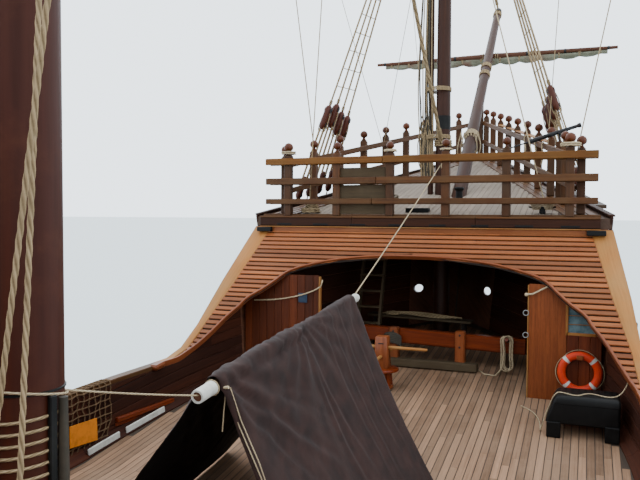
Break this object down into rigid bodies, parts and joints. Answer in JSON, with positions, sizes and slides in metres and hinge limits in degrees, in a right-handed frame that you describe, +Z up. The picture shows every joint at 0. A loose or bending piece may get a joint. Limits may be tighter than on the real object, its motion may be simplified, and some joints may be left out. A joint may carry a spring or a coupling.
{
  "type": "three-masted sailing ship with forecastle and furled sails",
  "caption": "Wooden three-masted carrack afloat: solid decked hull, sloping forecastle front, railed decks, furled sails, turning rudder, yards, capstan and doors.",
  "frame": {"origin": "on the waterline, on the ship's centre plane, under the axis of the mainmast", "axes": "+X to starboard, +Y forward to the bow, +Z up"},
  "size_m": [12.6, 30.2191, 27.35],
  "materials": {
    "tarred_wood": "tarred planking",
    "painted_side": "dark red-brown stained planking",
    "deck_wood": "weathered grey-brown deck planks",
    "varnished_wood": "satin orange-brown varnish",
    "rail_wood": "weathered brown timber",
    "spar_wood": "dark red-brown oiled spar",
    "bowsprit_wood": "weathered mauve-brown spar",
    "canvas": "dark waxed canvas",
    "sailcloth": "furled cream sailcloth",
    "rope": "hemp rope",
    "iron": "black painted iron",
    "orange_cover": "orange with white bands",
    "black_paint": "black painted wood"
  },
  "bodies": {
    "ship": {"hull": "tarred_wood", "bow_side_starboard": "painted_side", "waist_side_starboard": "painted_side", "stern_side_starboard": "painted_side", "bow_side_port": "painted_side", "waist_side_port": "painted_side", "stern_side_port": "painted_side", "sloping_front": "varnished_wood", "forecastle_deck": "deck_wood", "forecastle_bulkhead_starboard": "varnished_wood", "forecastle_bulkhead_port": "varnished_wood", "forecastle_front_rail": "rail_wood", "forecastle_side_rail_starboard": "rail_wood", "forecastle_side_rail_port": "rail_wood", "riding_bitts": "varnished_wood", "chest": "black_paint", "lifebuoy": "orange_cover", "half_deck": "deck_wood", "poop_deck": "deck_wood", "half_deck_bulkhead": "varnished_wood", "poop_bulkhead": "varnished_wood", "half_deck_rail": "rail_wood", "poop_rail": "rail_wood", "transom": "painted_side", "keel_and_stem": "tarred_wood", "foremast": "spar_wood", "mainmast": "spar_wood", "mizzenmast": "spar_wood", "bowsprit": "bowsprit_wood", "fore_shrouds_starboard": "rope", "main_shrouds_starboard": "rope", "mizzen_shrouds_starboard": "rope", "fore_shrouds_port": "rope", "main_shrouds_port": "rope", "mizzen_shrouds_port": "rope", "mainstay": "rope", "forestay": "rope", "anchor_starboard": "iron", "anchor_port": "iron", "tent_canvas": "canvas", "tent_pole": "varnished_wood", "main_hatch": "varnished_wood", "half_deck_ladder": "varnished_wood", "poop_ladder": "varnished_wood", "fore_ladder": "varnished_wood"},
    "capstan": {"capstan": "spar_wood"},
    "rudder": {"rudder": "tarred_wood"},
    "door_starboard": {"half_deck_door_starboard": "varnished_wood"},
    "door_port": {"half_deck_door_port": "varnished_wood"},
    "poop_door": {"poop_door": "varnished_wood"},
    "main_yard": {"main_yard": "spar_wood", "main_sail": "sailcloth"},
    "fore_yard": {"fore_yard": "spar_wood", "fore_sail": "sailcloth"},
    "mizzen_yard": {"mizzen_yard": "spar_wood", "mizzen_sail": "sailcloth"},
    "spritsail_yard": {"spritsail_yard": "spar_wood", "spritsail": "sailcloth"},
    "swivel_gun": {"swivel_gun": "iron"}
  },
  "joints": [
    {"name": "rudder_turn", "type": "hinge", "parent": "ship", "child": "rudder", "pos_m": [0, -10.4632, 0], "axis": [0, -0.1503, 0.9886], "range_deg": [-35, 35]},
    {"name": "capstan_spin", "type": "hinge", "parent": "ship", "child": "capstan", "pos_m": [-0.4, 9, 2.6], "axis": [0, 0, 1], "continuous": true},
    {"name": "door_starboard_swing", "type": "hinge", "parent": "ship", "child": "door_starboard", "pos_m": [1.68, -2.754, 2.4], "axis": [0, 0, -1], "range_deg": [0, 105]},
    {"name": "door_port_swing", "type": "hinge", "parent": "ship", "child": "door_port", "pos_m": [-1.68, -2.754, 2.4], "axis": [0, 0, 1], "range_deg": [0, 105]},
    {"name": "poop_door_swing", "type": "hinge", "parent": "ship", "child": "poop_door", "pos_m": [1.48, -6.954, 4.6], "axis": [0, 0, -1], "range_deg": [0, 105]},
    {"name": "main_yard_brace", "type": "hinge", "parent": "ship", "child": "main_yard", "pos_m": [0, 0, 16.2], "axis": [0, 0, 1], "range_deg": [-25, 25]},
    {"name": "fore_yard_brace", "type": "hinge", "parent": "ship", "child": "fore_yard", "pos_m": [0, 12.35, 14], "axis": [0, 0, 1], "range_deg": [-25, 25]},
    {"name": "mizzen_yard_brace", "type": "hinge", "parent": "ship", "child": "mizzen_yard", "pos_m": [0, -6.1, 9.9], "axis": [0, 0, 1], "range_deg": [-30, 30]},
    {"name": "spritsail_yard_brace", "type": "hinge", "parent": "ship", "child": "spritsail_yard", "pos_m": [0.4, 16.93, 9.9], "axis": [0, 0.6668, -0.7453], "range_deg": [-20, 20]},
    {"name": "swivel_gun_turn", "type": "hinge", "parent": "ship", "child": "swivel_gun", "pos_m": [2.487, 11.45, 6.96], "axis": [0, 0, 1], "range_deg": [-45, 30]}
  ]
}
